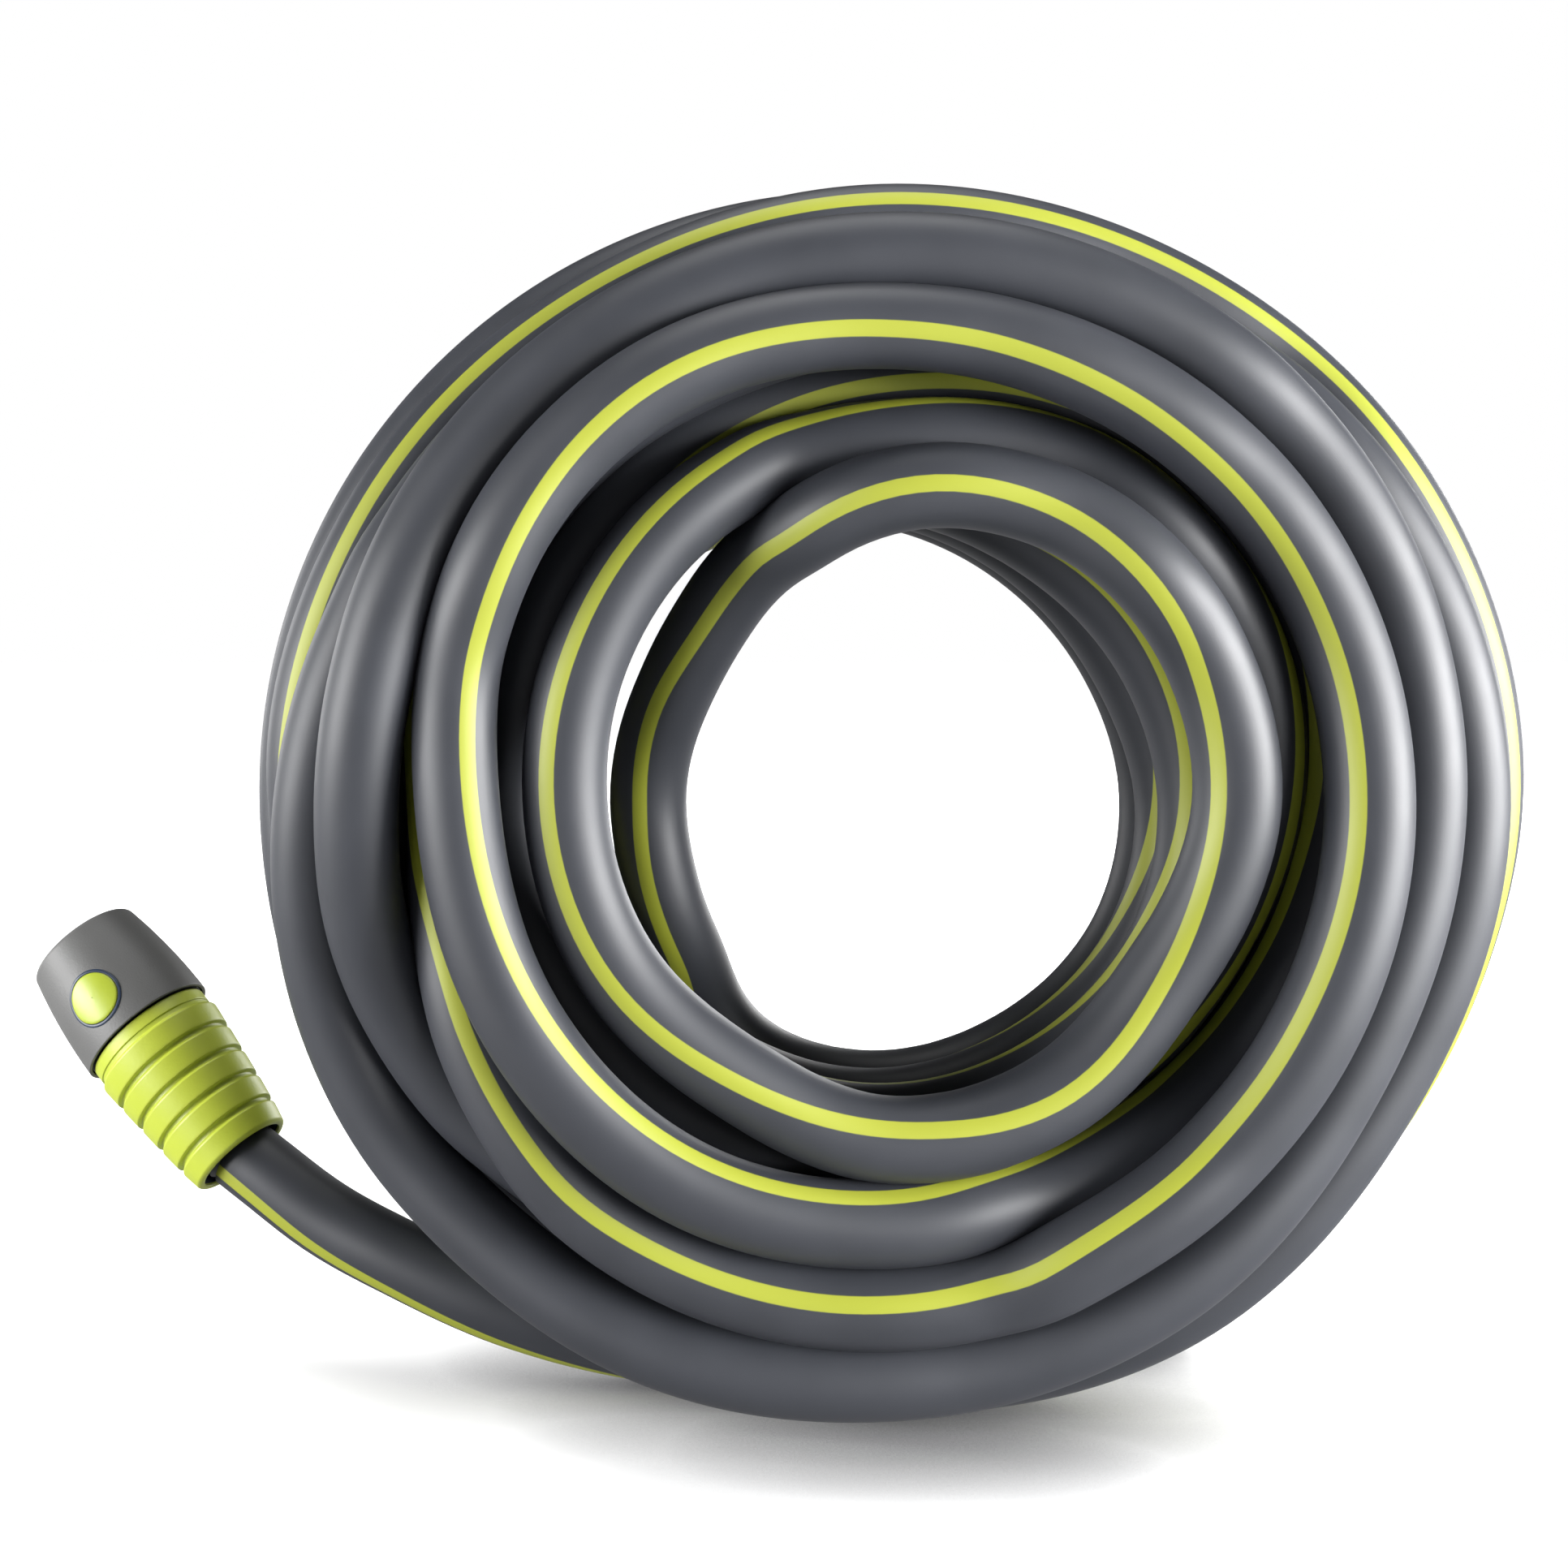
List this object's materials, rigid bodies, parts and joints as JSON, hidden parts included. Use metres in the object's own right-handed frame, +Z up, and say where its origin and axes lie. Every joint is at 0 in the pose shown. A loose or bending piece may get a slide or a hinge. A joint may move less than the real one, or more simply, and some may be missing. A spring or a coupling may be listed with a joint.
{
  "type": "coiled garden hose",
  "caption": "Smooth garden hose wound into a thick coil that stands on its rim, with a click connector on each end; the tool end has a water stop.",
  "frame": {"origin": "on the floor, in the middle of the flat under the outermost turn of the coil", "axes": "+Z up, +X to the right seen from the front, +Y from the front of the coil to its back"},
  "size_m": [0.3384, 0.122, 0.2726],
  "materials": {
    "hose": "smooth satin",
    "shell": "fine texture",
    "lime": "soft touch",
    "navy": "matte",
    "white_plastic": "smooth",
    "dark_plastic": "smooth",
    "steel": "drawn wire",
    "seal": "matte"
  },
  "bodies": {
    "hose": {"hose_coil": "hose", "hose_tail": "hose", "hose_tap_run": "hose", "tool_hose_end": "hose", "tool_spigot": "dark_plastic", "tool_barrel": "dark_plastic", "tool_joint_seal": "seal", "tool_claw_ring": "white_plastic", "tool_sleeve_spring": "steel", "tool_valve_guide": "white_plastic", "tool_valve_spring": "steel", "tap_hose_end": "hose", "tap_spigot": "dark_plastic", "tap_barrel": "dark_plastic", "tap_joint_seal": "seal", "tap_claw_ring": "white_plastic", "tap_sleeve_spring": "steel"},
    "tool_sleeve_body": {"tool_release_sleeve": "shell", "tool_sleeve_pad": "lime", "tool_pad_rim": "navy"},
    "tool_collet_body": {"tool_collet": "white_plastic"},
    "tool_nut_body": {"tool_union_nut": "dark_plastic", "tool_nut_cover": "lime"},
    "tap_sleeve_body": {"tap_release_sleeve": "shell", "tap_sleeve_pad": "lime", "tap_pad_rim": "navy"},
    "tap_collet_body": {"tap_collet": "white_plastic"},
    "tap_nut_body": {"tap_union_nut": "dark_plastic", "tap_nut_cover": "lime"},
    "tool_valve_body": {"tool_valve_poppet": "white_plastic", "tool_valve_seal": "seal"}
  },
  "joints": [
    {"name": "tool_sleeve_slide", "type": "slide", "parent": "hose", "child": "tool_sleeve_body", "axis": [0.6457, -0.3434, -0.682], "range_m": [0, 0.003], "stiffness_N_per_m": 700, "springref_m": -0.008, "deforming": ["tool_sleeve_spring"]},
    {"name": "tool_nut_travel", "type": "slide", "parent": "hose", "child": "tool_collet_body", "axis": [0.6457, -0.3434, -0.682], "range_m": [0, 0.006]},
    {"name": "tool_nut_turn", "type": "hinge", "parent": "tool_collet_body", "child": "tool_nut_body", "pos_m": [-0.15862, 0.04718, 0.05978], "axis": [0.6457, -0.3434, -0.682], "range_deg": [0, 720]},
    {"name": "tap_sleeve_slide", "type": "slide", "parent": "hose", "child": "tap_sleeve_body", "axis": [-0.9957, 0, -0.0924], "range_m": [0, 0.003], "stiffness_N_per_m": 700, "springref_m": -0.008, "deforming": ["tap_sleeve_spring"]},
    {"name": "tap_nut_travel", "type": "slide", "parent": "hose", "child": "tap_collet_body", "axis": [-0.9957, 0, -0.0924], "range_m": [0, 0.006]},
    {"name": "tap_nut_turn", "type": "hinge", "parent": "tap_collet_body", "child": "tap_nut_body", "pos_m": [0.02992, 0.04585, 0.01526], "axis": [-0.9957, 0, -0.0924], "range_deg": [0, 720]},
    {"name": "tool_valve_slide", "type": "slide", "parent": "hose", "child": "tool_valve_body", "axis": [0.6457, -0.3434, -0.682], "range_m": [0, 0.003], "stiffness_N_per_m": 250, "springref_m": -0.006, "deforming": ["tool_valve_spring"]}
  ],
  "couplings": [
    {"joint": "tool_nut_turn", "follows": "tool_nut_travel", "rad_per_m": 2094},
    {"joint": "tap_nut_turn", "follows": "tap_nut_travel", "rad_per_m": 2094}
  ]
}
